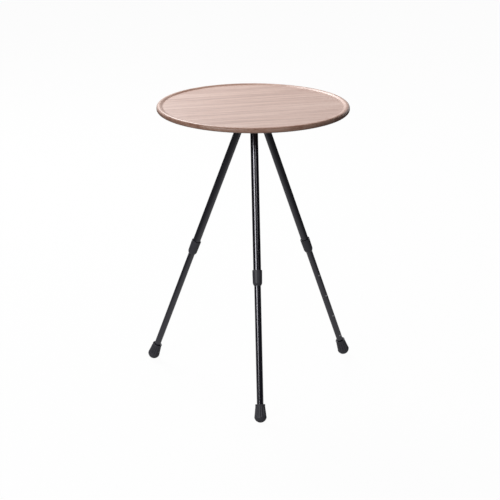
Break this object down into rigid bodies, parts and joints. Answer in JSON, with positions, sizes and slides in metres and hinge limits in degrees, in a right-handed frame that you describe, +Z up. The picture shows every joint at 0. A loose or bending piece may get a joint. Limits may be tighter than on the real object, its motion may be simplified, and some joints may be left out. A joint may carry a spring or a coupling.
{
  "type": "tripod table",
  "caption": "Light round side table: a wooden board with a raised, rounded rim on a folding tripod of telescopic black tubes with plastic ferrules and flared rubber feet; the board lifts off.",
  "frame": {"origin": "on the floor, under the middle of the whole object's bounding box; the table's own axis, through the hub, stands at x 0, y 0.0289 m", "axes": "+Z up; one leg points to -Y, the front, and the other two stand a third of a turn to each side, to the right (+X, +Y) and to the left (-X, +Y)"},
  "size_m": [0.4498, 0.4578, 0.6069],
  "materials": {
    "board_wood": "pale pinkish-brown wood veneer under satin lacquer",
    "plate_metal": "black powder coat",
    "insert_brass": "turned",
    "bright_steel": "zinc plated",
    "hub_plastic": "glass-filled nylon, fine texture",
    "lock_plastic": "plain nylon",
    "ferrule_plastic": "dark grey, fine texture",
    "black_tube": "black anodised, satin",
    "foot_rubber": "matt, slightly dusty"
  },
  "bodies": {
    "hub": {"hub_body": "hub_plastic", "front_hinge_rivet": "bright_steel", "right_hinge_rivet": "bright_steel", "left_hinge_rivet": "bright_steel"},
    "board": {"tabletop_board": "board_wood", "mounting_plate": "plate_metal", "threaded_insert": "insert_brass", "plate_screw_1": "bright_steel", "plate_screw_2": "bright_steel", "plate_screw_3": "bright_steel", "plate_screw_4": "bright_steel"},
    "clamp": {"clamp_screw": "bright_steel", "clamp_knob": "hub_plastic", "screw_clip": "bright_steel"},
    "front_upper_leg": {"front_knuckle": "hub_plastic", "front_upper_tube": "black_tube", "front_ferrule": "ferrule_plastic"},
    "front_lock": {"front_lock_shell": "lock_plastic"},
    "front_lower_leg": {"front_lock_spindle": "lock_plastic", "front_lower_tube": "black_tube", "front_foot_washer": "bright_steel", "front_rubber_foot": "foot_rubber"},
    "right_upper_leg": {"right_knuckle": "hub_plastic", "right_upper_tube": "black_tube", "right_ferrule": "ferrule_plastic"},
    "right_lock": {"right_lock_shell": "lock_plastic"},
    "right_lower_leg": {"right_lock_spindle": "lock_plastic", "right_lower_tube": "black_tube", "right_foot_washer": "bright_steel", "right_rubber_foot": "foot_rubber"},
    "left_upper_leg": {"left_knuckle": "hub_plastic", "left_upper_tube": "black_tube", "left_ferrule": "ferrule_plastic"},
    "left_lock": {"left_lock_shell": "lock_plastic"},
    "left_lower_leg": {"left_lock_spindle": "lock_plastic", "left_lower_tube": "black_tube", "left_foot_washer": "bright_steel", "left_rubber_foot": "foot_rubber"}
  },
  "joints": [
    {"name": "board_lift", "type": "slide", "parent": "hub", "child": "board", "axis": [0, 0, 1], "range_m": [0, 0.05]},
    {"name": "clamp_turn", "type": "hinge", "parent": "hub", "child": "clamp", "pos_m": [0, 0.02885, 0.57], "axis": [0, 0, 1], "continuous": true},
    {"name": "front_fold", "type": "hinge", "parent": "hub", "child": "front_upper_leg", "pos_m": [0, 0.00445, 0.57195], "axis": [1, 0, 0], "range_deg": [0, 21.5]},
    {"name": "front_telescope", "type": "slide", "parent": "front_upper_leg", "child": "front_lock", "axis": [0, 0.3665, 0.9304], "range_m": [0, 0.24]},
    {"name": "front_twist", "type": "hinge", "parent": "front_lock", "child": "front_lower_leg", "pos_m": [0, 0.00445, 0.57195], "axis": [0, 0.3665, 0.9304], "range_deg": [0, 180]},
    {"name": "right_fold", "type": "hinge", "parent": "hub", "child": "right_upper_leg", "pos_m": [0.02113, 0.04105, 0.57195], "axis": [-0.5, 0.866, 0], "range_deg": [0, 21.5]},
    {"name": "right_telescope", "type": "slide", "parent": "right_upper_leg", "child": "right_lock", "axis": [-0.3174, -0.1833, 0.9304], "range_m": [0, 0.24]},
    {"name": "right_twist", "type": "hinge", "parent": "right_lock", "child": "right_lower_leg", "pos_m": [0.02113, 0.04105, 0.57195], "axis": [-0.3174, -0.1833, 0.9304], "range_deg": [0, 180]},
    {"name": "left_fold", "type": "hinge", "parent": "hub", "child": "left_upper_leg", "pos_m": [-0.02113, 0.04105, 0.57195], "axis": [-0.5, -0.866, 0], "range_deg": [0, 21.5]},
    {"name": "left_telescope", "type": "slide", "parent": "left_upper_leg", "child": "left_lock", "axis": [0.3174, -0.1833, 0.9304], "range_m": [0, 0.24]},
    {"name": "left_twist", "type": "hinge", "parent": "left_lock", "child": "left_lower_leg", "pos_m": [-0.02113, 0.04105, 0.57195], "axis": [0.3174, -0.1833, 0.9304], "range_deg": [0, 180]}
  ]
}
